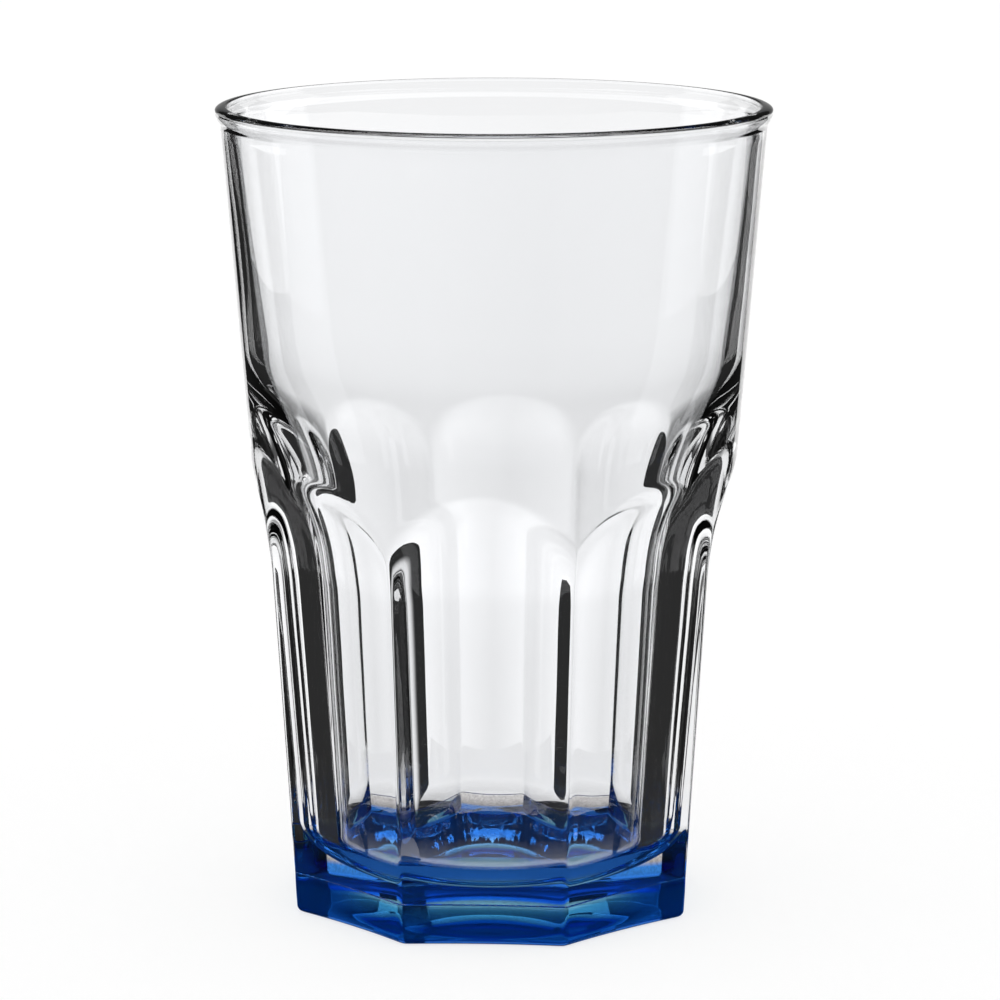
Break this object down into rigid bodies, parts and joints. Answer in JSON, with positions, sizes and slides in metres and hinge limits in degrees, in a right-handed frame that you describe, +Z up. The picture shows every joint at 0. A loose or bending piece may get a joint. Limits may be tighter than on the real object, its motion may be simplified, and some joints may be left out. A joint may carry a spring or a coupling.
{
  "type": "beer glass",
  "caption": "Tall flared tumbler of clear pressed glass with a beaded rim, arch-topped hollow panels, a thick octagonal foot and a blue colour coat on the foot; holds a drink.",
  "frame": {"origin": "centre of the underside, on the surface the glass stands on", "axes": "+Z up along the glass's axis; a panel's middle faces -Y, and the panels repeat every 45 degrees"},
  "size_m": [0.086, 0.086, 0.126],
  "materials": {
    "clear_glass": "fire-polished clear soda-lime glass",
    "blue_lacquer": "glossy transparent blue lacquer with a faint iridescence, fading out upwards"
  },
  "bodies": {
    "root": {"glass_body": "clear_glass", "foot_coat": "blue_lacquer"}
  },
  "joints": []
}
